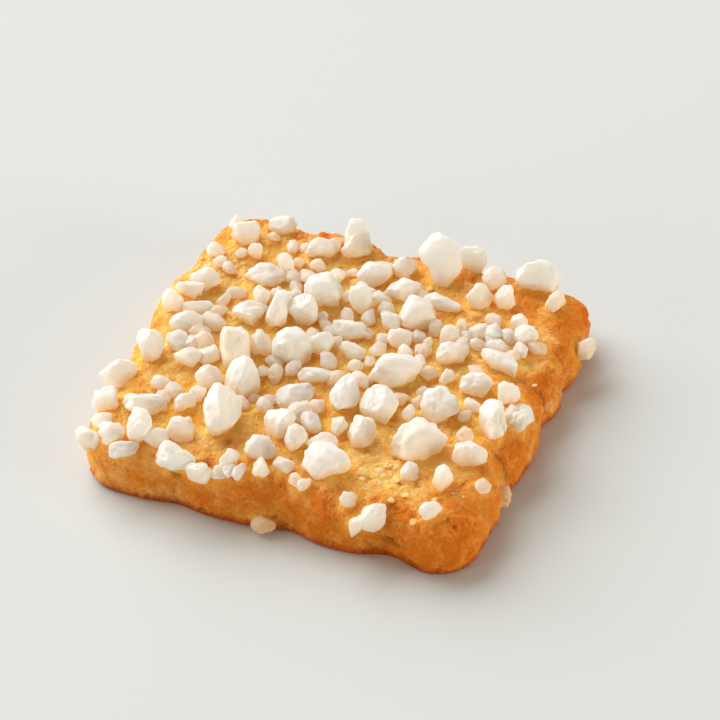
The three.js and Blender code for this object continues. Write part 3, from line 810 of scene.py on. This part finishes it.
def strew_grains(patches, heights, seed):
    """Bits like small nibs on the top, each at the first place tried that has room."""
    draw = make_draw(seed)
    grains = []
    for patch_x, patch_y, reach, number, longest, farthest in patches:
        for _ in range(number):
            long = longest * between(1, GRAIN_SHORTEST, next(draw))
            size, turn, lean, facets = draw_form(long, heights, draw)
            taken = np.array([nib.place[:2] for nib in nibs + grains])
            footprints = np.array([footprint(nib.size) for nib in nibs + grains])
            for _ in range(GRAIN_TRIES):
                place = draw_place(patch_x, patch_y, reach, draw)
                room = (np.linalg.norm(taken - place, axis=1) - footprints).min() - long / 2
                if -GRAIN_OVERLAP < room < farthest and inward_of(place[None])[0] > RIM_CLEARANCE:
                    grains.append(Nib(resting_place(*place, size[2]), size, turn, lean, 0, facets))
                    break
    return grains


grains = strew_grains(GRAIN_PATCHES, SMALL_HEIGHTS, GRAIN_SEED)
sugar_grains = add_nibs("sugar_grains", grains, GRAIN_STEPS, len(nibs), GRAIN_TONES, tone_draw)
sugar_grains.data.materials.append(sugar)
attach(sugar_grains, "root")
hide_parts("biscuit")

# Dough crumbs
# Small flat bits of the dough's own crumb that came loose. Most lie on the pale patch and round the
# front corner, and a few anywhere on the top. They stuck to the crust as it baked.
CRUMB_SEED = 3301

# The range of their height as a share of their length
CRUMB_HEIGHTS = (0.22, 0.34)

# Where they lie: x, y, reach, number, longest, and how far from a nib they may be
CRUMB_PATCHES = [
    (12.5, -18.5, 3.2, 6, 1.3, 9), (21, -18, 3, 3, 1.0, 9), (17, -21.5, 3, 4, 1.1, 9),
    (0, 0, 24, 10, 1.0, 9),
]

# Loose crumb: broken dough from inside, paler than the crust, dry and dull, with no gloss to the eye.
# Its pattern and its bump are in millimetres.
CRUMB_PALE = "#fbdca4"
CRUMB_GOLD = "#f2bc68"
CRUMB_MOTTLE = 0.4
CRUMB_BUMP = 0.1


def loose_crumb():
    material, tree, place = new_material("loose_crumb")
    mottle = add_node(tree, "ShaderNodeTexNoise", {}, {
        "Vector": place, "Scale": 1 / (CRUMB_MOTTLE * MM), "Detail": 2.0, "Roughness": 0.6})
    crumb = add_node(tree, "ShaderNodeMix", {"data_type": "RGBA"}, {
        "Factor_Float": mottle, "A_Color": linear(CRUMB_PALE), "B_Color": linear(CRUMB_GOLD)})
    bump = add_node(tree, "ShaderNodeBump", {}, {
        "Strength": 0.5, "Distance": CRUMB_BUMP * MM, "Height": mottle})
    shader = add_node(tree, "ShaderNodeBsdfPrincipled", {}, {
        "Base Color": crumb, "Roughness": 0.8, "Specular IOR Level": 0.1, "Normal": bump})
    add_node(tree, "ShaderNodeOutputMaterial", {}, {"Surface": shader})
    return material


crumbs = strew_grains(CRUMB_PATCHES, CRUMB_HEIGHTS, CRUMB_SEED)
dough_crumbs = add_nibs("dough_crumbs", crumbs, GRAIN_STEPS, len(nibs + grains), GRAIN_TONES, tone_draw)
dough_crumbs.data.materials.append(loose_crumb())
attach(dough_crumbs, "root")
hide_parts("biscuit")

# Floor and light
# A plain pale board under the biscuit, lit by a large soft box from the left and behind, so that the
# shadow falls softly to the right and the front. Two low white cards lighten the front walls, and the
# room is pale. Places and widths are in metres, seen as the camera stands.
AZIMUTH = math.radians(21.7)
VIEW_RIGHT = Vector((math.cos(AZIMUTH), math.sin(AZIMUTH), 0))
VIEW_AWAY = Vector((-math.sin(AZIMUTH), math.cos(AZIMUTH), 0))
UPWARD = Vector((0, 0, 1))
ROOM_WHITE = "#faf2e4"
ROOM_STRENGTH = 0.34
KEY_PLACE = -1.25 * VIEW_RIGHT + 1.42 * VIEW_AWAY + 1.45 * UPWARD
KEY_WIDTH = 2.6
KEY_POWER = 109.5
KEY_WHITE = "#f2f7ff"
CARD_PLACES = {
    "right_card": 0.95 * VIEW_RIGHT - 0.38 * VIEW_AWAY + 0.16 * UPWARD,
    "left_card": -0.85 * VIEW_RIGHT - 0.5 * VIEW_AWAY + 0.16 * UPWARD,
}
CARD_POWERS = {"right_card": 6.4, "left_card": 3.6}
CARD_WIDTH = 0.4
CARD_WHITE = "#fbf9f2"

# Pale paint: a matte coat on the board, even to the eye, with the faintest change of gloss over it.
FLOOR_WIDTH = 6.0
FLOOR_PALE = "#d1d1cb"
FLOOR_CLOUD = 300.0
FLOOR_ROUGHNESS = (0.55, 0.65)


def pale_paint():
    material, tree, place = new_material("pale_paint")
    clouds = add_node(tree, "ShaderNodeTexNoise", {}, {
        "Vector": place, "Scale": 1 / (FLOOR_CLOUD * MM)})
    roughness = add_node(tree, "ShaderNodeMapRange", {}, {
        "Value": clouds, "To Min": FLOOR_ROUGHNESS[0], "To Max": FLOOR_ROUGHNESS[1]})
    shader = add_node(tree, "ShaderNodeBsdfPrincipled", {}, {
        "Base Color": linear(FLOOR_PALE), "Roughness": roughness, "Specular IOR Level": 0.05})
    add_node(tree, "ShaderNodeOutputMaterial", {}, {"Surface": shader})
    return material


bpy.ops.mesh.primitive_plane_add(size=FLOOR_WIDTH)
floor = bpy.context.object
floor.name = "floor"
floor.data.materials.append(pale_paint())

room = bpy.data.worlds.new("room")
room.use_nodes = True
room_light = room.node_tree.nodes["Background"]
room_light.inputs["Color"].default_value = linear(ROOM_WHITE)
room_light.inputs["Strength"].default_value = ROOM_STRENGTH
bpy.context.scene.world = room


def add_soft_box(name, place, width, power, colour):
    """A square light that faces the biscuit."""
    light = bpy.data.lights.new(name, "AREA")
    light.size = width
    light.energy = power
    light.color = linear(colour)[:3]
    soft_box = bpy.data.objects.new(name, light)
    soft_box.location = place
    soft_box.rotation_euler = (-place).to_track_quat("-Z", "Y").to_euler()
    bpy.context.scene.collection.objects.link(soft_box)


add_soft_box("key_light", KEY_PLACE, KEY_WIDTH, KEY_POWER, KEY_WHITE)
for name, place in CARD_PLACES.items():
    add_soft_box(name, place, CARD_WIDTH, CARD_POWERS[name], CARD_WHITE)

# Camera
# A long lens looks down on the biscuit from its front right, as a product photograph does. The middle of
# the picture lies a little above and to the right of the biscuit's own middle.
ELEVATION = math.radians(39.6)
CAMERA_DISTANCE = 0.563
LENS_LENGTH = 225
SENSOR_WIDTH = 36
PICTURE_MIDDLE = (1.889 * MM, 5.955 * MM)

view_back = math.cos(ELEVATION) * -VIEW_AWAY + math.sin(ELEVATION) * UPWARD
view_up = view_back.cross(VIEW_RIGHT)
picture_shift = PICTURE_MIDDLE[0] * VIEW_RIGHT + PICTURE_MIDDLE[1] * view_up
camera_place = CAMERA_DISTANCE * view_back + picture_shift
lens = bpy.data.cameras.new("camera")
lens.lens = LENS_LENGTH
lens.sensor_width = SENSOR_WIDTH
camera = bpy.data.objects.new("camera", lens)
axes = Matrix((VIEW_RIGHT, view_up, view_back)).transposed()
camera.matrix_world = Matrix.Translation(camera_place) @ axes.to_4x4()
bpy.context.scene.collection.objects.link(camera)
bpy.context.scene.camera = camera
bpy.context.scene.view_settings.view_transform = "Standard"
